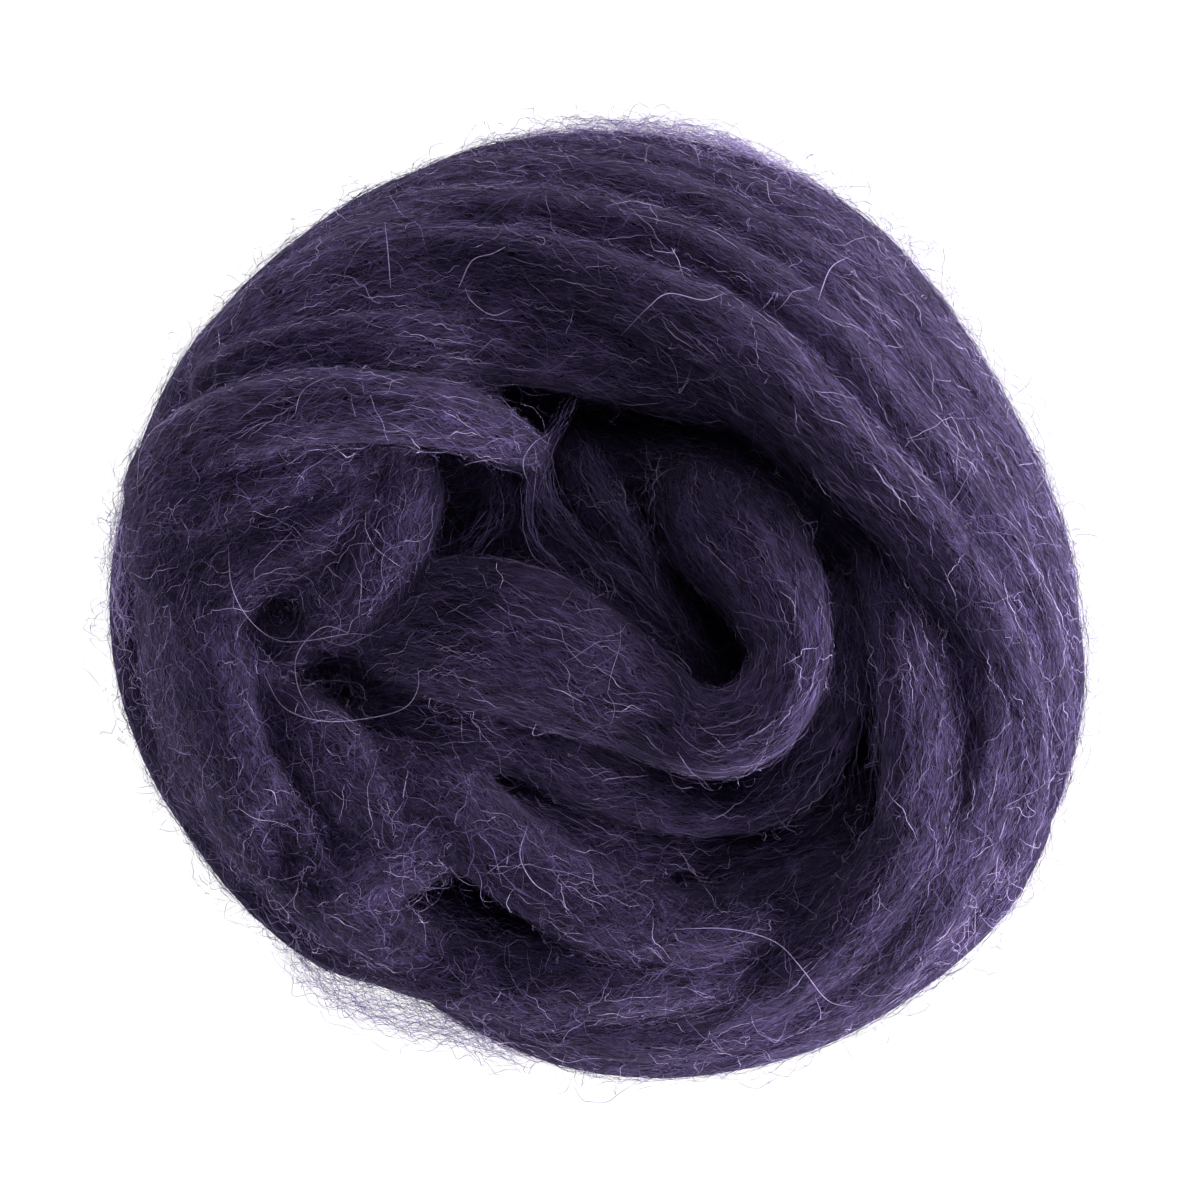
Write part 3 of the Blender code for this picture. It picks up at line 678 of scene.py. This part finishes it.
def tubes(paths, normals, half_width):
    """Points (fibre, step, 3, 3) of hairs with three sides."""
    side, off = square_axes(paths, normals)
    out = tapered(half_width, paths.shape[1], HAIR_TIP)
    rings = [paths + out * (side * math.cos(a) + off * math.sin(a)) for a in np.radians(HAIR_CORNERS)]
    return np.stack(rings, axis=2)


def strip_object(name, points, shade, material):
    """One mesh of all the strips, with each one's shade as an attribute and as the baking map's u."""
    count, steps, sides = points.shape[:3]
    quads = strip_quads(count, steps, sides)
    points = points.reshape(-1, 3)
    data = bpy.data.meshes.new(name)
    data.vertices.add(len(points))
    data.vertices.foreach_set("co", (points * MM).ravel())
    data.loops.add(quads.size)
    data.loops.foreach_set("vertex_index", quads.ravel())
    data.polygons.add(len(quads))
    data.polygons.foreach_set("loop_start", np.arange(0, quads.size, 4))
    data.update(calc_edges=True)
    data.polygons.foreach_set("use_smooth", np.ones(len(quads), bool))
    point_shade = np.repeat(shade, steps * sides)
    attribute = data.attributes.new("shade", "FLOAT", "POINT")
    attribute.data.foreach_set("value", point_shade)
    ring = np.arange(len(points)) // sides % steps / (steps - 1)
    turn = (np.arange(len(points)) % sides) / (sides - 1)
    u = BAKE_MARGIN + (1 - 3 * BAKE_MARGIN) * point_shade + BAKE_MARGIN * turn
    v = BAKE_MARGIN + (1 - 2 * BAKE_MARGIN) * ring
    layer = data.uv_layers.new(name="OFBake")
    layer.data.foreach_set("uv", np.column_stack([u, v])[quads.ravel()].astype(np.float32).ravel())
    data.materials.append(material)
    return new_object(name, data)


# ---- Materials ----


def set_inputs(tree, made, **inputs):
    """Gives each input of a node its value, or links it to another node's output."""
    for name, value in inputs.items():
        socket = made.inputs[name.replace("_", " ")]
        if isinstance(value, bpy.types.NodeSocket):
            tree.links.new(value, socket)
        else:
            socket.default_value = value


def node(tree, kind, **inputs):
    made = tree.nodes.new(kind)
    set_inputs(tree, made, **inputs)
    return made


def coloured(tree, value, stops):
    """A colour for each value, from (value, colour) stops."""
    made = node(tree, "ShaderNodeValToRGB", Fac=value)
    for at, _ in stops[1:-1]:
        made.color_ramp.elements.new(at)
    for element, (at, colour) in zip(made.color_ramp.elements, stops):
        element.position = at
        element.color = (*colour, 1)
    return made.outputs["Color"]


def new_material(name):
    material = bpy.data.materials.new(name)
    material.use_nodes = True
    return material, material.node_tree, material.node_tree.nodes["Principled BSDF"]


WHITE = (1, 1, 1, 1)
WOOL = {"Specular_IOR_Level": 0.12, "Sheen_Roughness": 0.5, "Sheen_Tint": (0.72, 0.58, 1.0, 1)}

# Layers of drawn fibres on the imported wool, each turned from the flow.
# degrees, frequency along and across the flow in cycles a mm, strength
DRAWN_LAYERS = (
    (-16, 0.11, 2.6, 0.80),
    (-5, 0.07, 3.4, 1.00),
    (6, 0.09, 3.0, 1.00),
    (19, 0.13, 2.8, 0.75),
)
LINE_NOISE = {"Scale": 1.0, "Detail": 1.0, "Roughness": 0.5}
LINE_SHARPNESS = 14.0
# Noises that bend the lines, and how far they shift them along and across the flow
BENDS = (
    ({"Scale": 0.22, "Detail": 2.0, "Roughness": 0.6}, (1.5, 3.0, 0)),
    ({"Scale": 0.7, "Detail": 1.0, "Roughness": 0.5}, (0.4, 1.1, 0)),
)
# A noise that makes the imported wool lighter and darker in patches
PATCHES = {"Scale": 0.35, "Detail": 3.0, "Roughness": 0.6}
LEAST_PATCH = 0.35
LINE_RELIEF = {"Strength": 0.7, "Distance": 0.0003}
PACKED_SHADES = (
    (0.00, (0.0016, 0.0010, 0.0035)),
    (0.30, (0.0100, 0.0067, 0.0210)),
    (0.65, (0.0560, 0.0380, 0.1130)),
    (1.00, (0.1550, 0.1100, 0.2850)),
)


def math_node(tree, operation, first, second):
    made = tree.nodes.new("ShaderNodeMath")
    made.operation = operation
    for socket, value in zip(made.inputs, (first, second)):
        if isinstance(value, (int, float)):
            socket.default_value = value
        else:
            tree.links.new(value, socket)
    return made.outputs["Value"]


def drawn_fibres(tree, place, degrees, along, across, strength):
    """Thin bright lines near the flow's direction, that fade in and out."""
    turn = node(tree, "ShaderNodeMapping", Vector=place, Rotation=(0, 0, math.radians(degrees)))
    place = turn.outputs["Vector"]
    shift = (degrees, 3 * degrees, 0)
    place = node(tree, "ShaderNodeMapping", Vector=place, Scale=(along, across, 1), Location=shift)
    noise = node(tree, "ShaderNodeTexNoise", Vector=place.outputs["Vector"], **LINE_NOISE)
    off_ridge = math_node(tree, "ABSOLUTE", math_node(tree, "SUBTRACT", noise.outputs["Fac"], 0.5), 0)
    line = math_node(tree, "SUBTRACT", 1.0, math_node(tree, "MULTIPLY", off_ridge, LINE_SHARPNESS))
    return math_node(tree, "MULTIPLY", math_node(tree, "MAXIMUM", line, 0.0), strength)


def body_material():
    """Packed fibres: lines near the run's direction, dark in between."""
    material, tree, shader = new_material("packed wool")
    flow = tree.nodes.new("ShaderNodeUVMap")
    flow.uv_map = "flow"
    flow = place = flow.outputs["UV"]
    for settings, shift in BENDS:
        noise = node(tree, "ShaderNodeTexNoise", Vector=flow, **settings)
        bent = tree.nodes.new("ShaderNodeVectorMath")
        bent.operation = "MULTIPLY_ADD"
        bent.inputs[1].default_value = shift
        tree.links.new(noise.outputs["Color"], bent.inputs[0])
        tree.links.new(place, bent.inputs[2])
        place = bent.outputs["Vector"]
    height = 0.0
    for layer in DRAWN_LAYERS:
        height = math_node(tree, "MAXIMUM", drawn_fibres(tree, place, *layer), height)
    patch = node(tree, "ShaderNodeTexNoise", Vector=flow, **PATCHES).outputs["Fac"]
    shade = math_node(tree, "MULTIPLY", height, math_node(tree, "ADD", patch, LEAST_PATCH))
    colour = coloured(tree, shade, PACKED_SHADES)
    normal = node(tree, "ShaderNodeBump", Height=height, **LINE_RELIEF).outputs["Normal"]
    set_inputs(tree, shader, Base_Color=colour, Roughness=0.85, Sheen_Weight=0.12, Normal=normal, **WOOL)
    return material


# Colours for the fibres' shade. The palest stop, at 1, serves chiefly the outline hairs: its light violet is
# painted glow, standing in for light that shines through thin hairs.
FIBRE_SHADES = (
    (0.00, (0.0078, 0.0052, 0.0176)),
    (0.40, (0.0588, 0.0404, 0.1232)),
    (0.70, (0.1617, 0.1178, 0.3025)),
    (1.00, (0.6400, 0.5200, 0.9000)),
)


def fibre_material():
    material, tree, shader = new_material("wool fibres")
    shade = tree.nodes.new("ShaderNodeAttribute")
    shade.attribute_name = "shade"
    colour = coloured(tree, shade.outputs["Fac"], FIBRE_SHADES)
    set_inputs(tree, shader, Base_Color=colour, Roughness=0.6, Sheen_Weight=0.4, **WOOL)
    return material


# ---- The pieces ----


def on_object(piece):
    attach(piece, "root")


UP_MARGIN = 0.3  # added to how far a face looks up, so that level ones count a little
LOOSE_FROM = 10  # degrees of scatter from which wool counts as loose
LOOSE_SPAN = 40
UNDERSIDE = -0.25  # faces that look further down than this get fewer fibres
UNDERSIDE_SHARE = 0.45


def fibre_seeds(skin, count, random, upward, loose=0):
    """Random places on the skin, more of them on faces that look up and where the fibres lie loosely."""
    weight = skin.area * (1 + upward * np.clip(skin.normal[:, 2] + UP_MARGIN, 0, 1))
    weight *= 1 + loose * np.clip(skin.scatter - LOOSE_FROM, 0, LOOSE_SPAN)
    weight *= np.where(skin.normal[:, 2] < UNDERSIDE, UNDERSIDE_SHARE, 1)
    faces = random.choice(len(weight), count, p=weight / weight.sum())
    mix = random.dirichlet((1, 1, 1), count)[:, :, None]
    return (skin.points[skin.corners[faces]] * mix).sum(axis=1), faces


def curls(random, length, hairs):
    size = random.uniform(*hairs.curl, (hairs.count, 1))
    return size * waves(random, length, hairs.steps, *hairs.curl_lengths)


def place_hairs(name, hairs, random, paths, normals, usual_shade, material):
    count, steps = paths.shape[:2]
    half_width = random.uniform(*hairs.half_width, count)
    shade = np.clip(random.normal(usual_shade, hairs.shade_spread, count), *hairs.shades)
    roll = rolls(random, hairs.roll, count, steps)
    on_object(strip_object(name, ribbons(paths, normals, half_width, roll), shade, material))


# Below, rise and length are the shape and scale of a gamma draw, and other pairs are the least and the most.

# Fibres laid on the skin, layer over layer: how many, steps, shortest, longest, height and length of their
# crimp, usual shade and half width
LAID = (
    (7000, 10, 6, 13, 0.13, 2.4, 0.24, 0.050),
    (7000, 10, 5, 11, 0.16, 2.2, 0.33, 0.046),
    (5200, 16, 4, 9, 0.17, 1.5, 0.47, 0.036),
    (5200, 16, 3, 8, 0.20, 1.3, 0.56, 0.032),
)
LAY = Settings(
    seed=100, upward=3.0, scatter=5,
    # Some lie further off the flow than the rest, and some stand off at their tips.
    askew_share=0.25, askew_more=14, askew_times=1.6, tips_up_share=0.3, tips_up=(0.3, 1.8),
    layer_lift=0.08, least_lift=0.04, rise=(1.3, 0.16), wave=0.16, wave_lengths=(3, 8),
    longest_crimp=2.3,  # beside the shortest
    roll=0.9, widths=(0.75, 1.25), shade_spread=0.25, shades=(0.0, 0.95),
    # a few fibres are pale: painted glints, standing in for light caught by single fibres
    pale_share=0.02, pale_shades=(0.7, 0.95),
)


def laid_fibres(skin, material):
    for number, row in enumerate(LAID):
        count, steps, shortest, longest, wave, crimp_length, usual_shade, width = row
        random = np.random.default_rng(LAY.seed + number)
        seeds, faces = fibre_seeds(skin, count, random, LAY.upward)
        length = random.uniform(shortest, longest, count)
        scatter = LAY.scatter + skin.scatter[faces]
        askew = random.uniform(0, 1, count) < LAY.askew_share
        scatter = np.where(askew, LAY.askew_more + LAY.askew_times * scatter, scatter)
        paths, normals = trace(skin, seeds, faces, length, steps, scatter, random)
        paths = smoothed(paths, 1)
        lift = LAY.layer_lift * (1 + number) + random.gamma(*LAY.rise, (count, 1))
        lift = lift + LAY.wave * waves(random, length, steps, *LAY.wave_lengths)
        step = np.arange(steps + 1)[None, :] / steps
        tip = random.uniform(0, 1, (count, 1)) < LAY.tips_up_share
        tip = tip * random.uniform(*LAY.tips_up, (count, 1))
        lift = np.maximum(lift, LAY.least_lift) + tip * step**4
        crimp = wave * waves(random, length, steps, crimp_length, LAY.longest_crimp * crimp_length)
        paths = moved(paths, normals, lift, crimp)
        roll = rolls(random, LAY.roll, count, steps + 1)
        half_width = width * random.uniform(*LAY.widths, count)
        shade = np.clip(random.normal(usual_shade, LAY.shade_spread, count), *LAY.shades)
        # a few fibres get a pale shade as painted glints
        pale = random.uniform(0, 1, count) < LAY.pale_share
        shade = np.where(pale, random.uniform(*LAY.pale_shades, count), shade)
        points = ribbons(paths, normals, half_width, roll)
        on_object(strip_object(f"laid_fibres_{number + 1}", points, shade, material))


STRAY = Settings(
    seed=7, count=2600, steps=18, upward=1.0, looseness=0.055, length=(3.0, 3.2), shortest=4, scatter=35,
    lift=0.35, rise=(1.5, 0.4), arch=(1.5, 3.1), curl=(0.15, 0.5), curl_lengths=(3.2, 10),
    half_width=(0.022, 0.042), usual_shade=0.58, shade_spread=0.17, shades=(0.25, 0.98), roll=0.8,
)


def stray_fibres(skin, material):
    """Single hairs that wander over the nest in any direction."""
    random = np.random.default_rng(STRAY.seed)
    one_each = (STRAY.count, 1)
    seeds, faces = fibre_seeds(skin, STRAY.count, random, STRAY.upward, STRAY.looseness)
    length = random.gamma(*STRAY.length, STRAY.count) + STRAY.shortest
    scatter = STRAY.scatter + skin.scatter[faces]
    paths, normals = trace(skin, seeds, faces, length, STRAY.steps, scatter, random)
    paths = smoothed(paths, 2)
    step = np.arange(STRAY.steps + 1)[None, :] / STRAY.steps
    rise = random.gamma(*STRAY.rise, one_each)
    lift = STRAY.lift + rise * np.sin(step * random.uniform(*STRAY.arch, one_each)) ** 2
    paths = moved(paths, normals, lift, curls(random, length, STRAY))
    place_hairs("stray_fibres", STRAY, random, paths, normals, STRAY.usual_shade, material)


FUZZ = Settings(
    count=3600, steps=11,
    steepness=0.5,  # only faces that look less far up or down than this carry it
    levels=(20, 47),  # none below the first level, and less above the second
    high_share=0.15,
    # Where the outline has more fuzz: bearing, half of its reach, how much more
    bearings=((75, 32, 2.0), (-125, 24, 1.5), (172, 16, 1.5), (-20, 40, 0.6)), length=(2.5, 1.8),
    shortest=2.5, scatter=60, rise=(1.5, 1.1), most_rise=5, arch=(0.45, 1), lift=0.1, wave=0.25,
    wave_lengths=(3, 8), curl=(0.2, 0.6), curl_lengths=(2, 6),
)


def fuzz(skin, random):
    """Hairs that stand off the sides, so that the outline is not sharp."""
    one_each = (FUZZ.count, 1)
    level = skin.middle[:, 2]
    low, high = FUZZ.levels
    weight = skin.area * (np.abs(skin.normal[:, 2]) < FUZZ.steepness)
    weight = weight * (level > low) * np.where(level < high, 1, FUZZ.high_share)
    bearing = np.degrees(np.arctan2(skin.middle[:, 1], skin.middle[:, 0]))
    for middle, half, more in FUZZ.bearings:
        away = np.abs((bearing - middle + 180) % 360 - 180)
        weight = weight * (1 + more * np.clip(1 - away / half, 0, 1))
    faces = random.choice(len(weight), FUZZ.count, p=weight / weight.sum())
    length = random.gamma(*FUZZ.length, FUZZ.count) + FUZZ.shortest
    paths, normals = trace(skin, skin.middle[faces], faces, length, FUZZ.steps, FUZZ.scatter, random)
    step = np.arange(FUZZ.steps + 1)[None, :] / FUZZ.steps
    rise = np.minimum(random.gamma(*FUZZ.rise, one_each), FUZZ.most_rise)
    lift = FUZZ.lift + rise * np.sin(math.pi * step * random.uniform(*FUZZ.arch, one_each))
    lift = lift + FUZZ.wave * waves(random, length, FUZZ.steps, *FUZZ.wave_lengths)
    return moved(paths, normals, lift, curls(random, length, FUZZ), rounds=2), normals


# Loose bundles of hairs: (x, y, z) along the middle, how many, how far they spread, how much they wave,
# and for some their usual shade and how far they spread up and down beside sideways
BUNDLES = (
    (((-3, 31, 57), (-7, 24, 57), (-9.5, 17, 56), (-9, 10, 54), (-5, 5, 54)), 60, 0.9, 0.4),
    (((-8, 25, 56), (-7, 17, 55), (-4, 12, 53), (1, 7, 51), (7, 2, 48), (14, -6, 43)), 120, 1.6, 0.5),
    (((-2, 24, 50), (2, 17, 50), (5, 12, 49), (9, 6, 47), (14, -2, 44), (19, -9, 40)), 120, 1.8, 0.5),
    (((-14, 26, 54), (-13, 19, 52), (-15, 12, 52), (-20, 8, 54)), 70, 2.5, 0.8),
    (((36, -30, 44), (37, -18, 49), (38.5, -6, 50), (38, 4, 47), (35, 12, 40)), 90, 1.6, 0.5),
    (((42, -28, 50), (41.5, -15, 53), (41.5, -2, 52), (42, 8, 47), (38, 15, 42)), 60, 1.2, 0.6),
    (((28, 24, 46), (34, 17, 46), (39, 10, 47), (44, 4, 50), (48, -2, 53)), 70, 2.6, 0.9),
    (((46, 13, 50), (48, 9, 54), (51, 5, 56), (53, 0, 57), (54, -6, 57)), 70, 3.0, 0.8, 0.85, 0.4),
    (((5, 27, 44), (14, 24, 42), (24, 20, 40), (32, 14, 40)), 70, 3.0, 0.9),
    (((-46, -30, 46), (-43, -36, 43), (-40, -42, 41), (-33, -47, 40)), 50, 2.4, 1.0),
    (((-34, -40, 45), (-26, -44, 42), (-18, -48, 42), (-8, -50, 44)), 60, 2.6, 1.0),
    (((-44, -8, 50), (-40, -12, 47), (-36, -9, 48), (-33, -14, 48), (-28, -12, 50)), 60, 2.2, 1.2),
    (((-50, 3, 54), (-47, -1, 53), (-44, 2, 55), (-47, 5, 56), (-50, 2, 55)), 60, 2.4, 0.8),
    # The last three bundles lie along the outline. Their pale shade is painted glow, which stands in for the
    # floor's light shining through these thin hairs.
    (((-47, -50, 28), (-38.5, -58.8, 27), (-29, -62, 27), (-19.5, -64.5, 28), (-9, -68, 29)),
     180, 2.6, 1.5, 0.97, 1.8),
    (((-10, 70.5, 40), (2, 72, 40), (12, 71.4, 40), (20, 69.4, 40), (28, 65, 40), (37, 59, 40)),
     130, 1.3, 1.4, 0.94, 1.8),
    (((-68, 22, 44), (-71, 14, 44), (-71.5, 6, 43), (-70.5, -6, 42)), 60, 1.3, 1.2, 0.9, 1.8),
)
BUNDLE = Settings(
    steps=28,
    starts=(-0.15, 0.7),  # as a share of the curve
    parts=(0.25, 0.8), offset=0.6, drift=0.5, drift_lengths=(12, 30), wave_lengths=(3, 8),
)


def bundle(random, rows, count, spread, wave, shade=0.6, depth=0.6):
    """Hairs that follow a curve together, each along a part of it."""
    middle = smooth_curve(rows, 0.5)
    travelled = lengths_along(middle)
    start = random.uniform(*BUNDLE.starts, count)
    part = random.uniform(*BUNDLE.parts, count)
    ends = np.clip(np.stack([start, start + part], axis=1), 0, 1) * travelled[-1]
    at = np.linspace(ends[:, 0], ends[:, 1], BUNDLE.steps + 1, axis=1)
    paths = np.stack([np.interp(at, travelled, middle[:, k]) for k in range(3)], axis=2)
    length = ends[:, 1] - ends[:, 0]
    for axis, share in enumerate((1.0, 1.0, depth)):
        moves = paths[:, :, axis]
        moves += share * spread * BUNDLE.offset * random.standard_normal((count, 1))
        for size, lengths in ((spread, BUNDLE.drift_lengths), (wave, BUNDLE.wave_lengths)):
            moves += share * size * BUNDLE.drift * waves(random, length, BUNDLE.steps, *lengths)
    return above_floor(paths), straight_up(paths), np.full(count, shade)


# The outline hairs get a pale shade as painted glow: it stands in for the floor's light shining through them
# from behind.
LOOSE = Settings(
    seed=21, edge_shade=0.92, half_width=(0.026, 0.042), shade_spread=0.14, shades=(0.1, 0.98), roll=1.3,
)


def loose_hairs(skin, material):
    random = np.random.default_rng(LOOSE.seed)
    # the outline hairs' pale shade is painted glow, not their own colour
    edge = (*fuzz(skin, random), LOOSE.edge_shade)
    bundles = zip(*(bundle(random, *row) for row in BUNDLES))
    loose = [np.concatenate(parts) for parts in bundles]
    for name, parts in (("edge_hairs", edge), ("loose_hairs", loose)):
        place_hairs(name, LOOSE, random, *parts, material)


# Long pale hairs that lie over the nest: (x, y) along each
LONG_HAIRS = (
    ((-54, 9), (-53.5, 3), (-51, -2), (-47, -5), (-42, -5), (-36, -4), (-31.5, -4.5)),
    ((-49, -10), (-46, -15), (-40, -17), (-33, -16.5), (-28, -15), (-26, -12), (-26, -9)),
    ((-49, -27), (-47.5, -27.5), (-47, -29.5)),
    ((-10, -33), (-11, -37), (-9, -41), (-6, -43)),
    ((12, -48), (20, -48), (27, -50), (31, -54), (35, -59), (39, -60)),
    ((-20, 47), (-18, 51), (-15, 52), (-13, 53)),
    ((-19, 47), (-18, 45), (-15, 43), (-12, 44)),
    ((-30, 47), (-30.5, 53), (-31, 57)),
    ((33, 45), (35, 50), (38, 52)),
    ((4, 40), (8, 44), (11, 46), (16, 45), (19, 46)),
    ((-6, 13), (-9, 17), (-10.5, 21), (-9, 24), (-6.5, 26), (-5, 29)),
    ((-41, -17), (-44, -12), (-44, -7), (-40, -3), (-36, -4)),
)
LONG = Settings(
    steps=60, lift=0.9, half_width=0.075, shade=0.9,
    bridging_rounds=40,  # that make a long hair bridge the grooves under it
    above_all=200,
)


def long_hairs(skin, material):
    """Pale hairs along given lines, lying on whatever is under them."""
    all_paths = []
    for line in LONG_HAIRS:
        flat = smooth_curve([(x, y, 0) for x, y in line], 0.25)
        travelled = lengths_along(flat)
        at = np.linspace(0, travelled[-1], LONG.steps + 1)
        x, y = (np.interp(at, travelled, flat[:, k]) for k in range(2))
        hits = [skin.tree.ray_cast((a, b, LONG.above_all), (0, 0, -1))[0] for a, b in zip(x, y)]
        height = np.array([hit[2] if hit is not None else 0 for hit in hits])
        for _ in range(LONG.bridging_rounds):
            bridged = height.copy()
            bridged[1:-1] = np.maximum(height[1:-1], 0.5 * (height[:-2] + height[2:]))
            height = bridged
        all_paths.append(np.column_stack([x, y, height + LONG.lift]))
    paths = smoothed(np.array(all_paths), 3)
    half_width, shade = (np.full(len(paths), value) for value in (LONG.half_width, LONG.shade))
    on_object(strip_object("long_hairs", tubes(paths, straight_up(paths), half_width), shade, material))


def make_wool():
    strands = all_strands()
    body = fused_skin(strands)
    skin = Skin(body.data, strands)
    map_flow(body.data, skin, strands)
    body.data.materials.append(body_material())
    on_object(body)
    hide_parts("wool_roving")
    material = fibre_material()
    laid_fibres(skin, material)
    stray_fibres(skin, material)
    loose_hairs(skin, material)
    long_hairs(skin, material)


# ---- Floor, light and camera ----

VIEW_MIDDLE = (0.0009, 0.000975)  # what the middle of the picture looks at
PICTURE_WIDTH = 0.180  # seen at PICTURE_LEVEL
PICTURE_LEVEL = 0.038
CAMERA_HEIGHT = 1.5
SENSOR = 36
FLOOR_HALF = 3.0
FLOOR_GAP = 0.0002
FLOOR_GREY = (0.2, 0.2, 0.2, 1)
FLOOR_GLOW = 1.0  # just enough for plain white, so that thin hairs show against it
WORLD_STRENGTH = 0.025
LAMP_DISTANCE = 1.0
LAMP_SIZE = 0.6
# Lamps that look at the nest: name, bearing, elevation, watts
LAMPS = (
    ("key", 346, 4, 31.0),
    ("lower_right", 330, 4, 4.0),
    ("low", 300, 4, 0.8),
    ("far_low", 125, 4, 3.6),
    ("low_left", 238, 4, 4.6),
    ("far", 135, 14, 1.5),
    ("top", 100, 4, 4.4),
    ("over", 60, 60, 2.1),
)


def stage():
    data = bpy.data.meshes.new("floor")
    corners = [(x * FLOOR_HALF, y * FLOOR_HALF, 0) for x, y in ((-1, -1), (1, -1), (1, 1), (-1, 1))]
    data.from_pydata(corners, [], [(0, 1, 2, 3)])
    floor = new_object("floor", data)
    floor.location.z = -FLOOR_GAP
    material, tree, shader = new_material("white floor")
    set_inputs(tree, shader, Base_Color=FLOOR_GREY, Roughness=0.9)
    set_inputs(tree, shader, Emission_Color=WHITE, Emission_Strength=FLOOR_GLOW)
    data.materials.append(material)


def lights():
    world = bpy.data.worlds.new("studio")
    bpy.context.scene.world = world
    world.use_nodes = True
    tree = world.node_tree
    set_inputs(tree, tree.nodes["Background"], Color=WHITE, Strength=WORLD_STRENGTH)
    for name, bearing, elevation, watts in LAMPS:
        data = bpy.data.lights.new(name, "AREA")
        data.shape = "DISK"
        data.size = LAMP_SIZE
        data.energy = watts
        lamp = new_object(name, data)
        b, e = math.radians(bearing), math.radians(elevation)
        place = np.array([math.cos(b) * math.cos(e), math.sin(b) * math.cos(e), math.sin(e)]) * LAMP_DISTANCE
        lamp.location = place
        lamp.rotation_euler = Vector(place - (0, 0, PICTURE_LEVEL)).to_track_quat("Z", "Y").to_euler()


def camera():
    data = bpy.data.cameras.new("camera")
    data.sensor_width = SENSOR
    data.lens = SENSOR * (CAMERA_HEIGHT - PICTURE_LEVEL) / PICTURE_WIDTH
    data.clip_start = 0.01
    data.clip_end = 20
    made = new_object("camera", data)
    made.location = (*VIEW_MIDDLE, CAMERA_HEIGHT)
    bpy.context.scene.camera = made
    bpy.context.scene.view_settings.view_transform = "Standard"


make_wool()
stage()
lights()
camera()
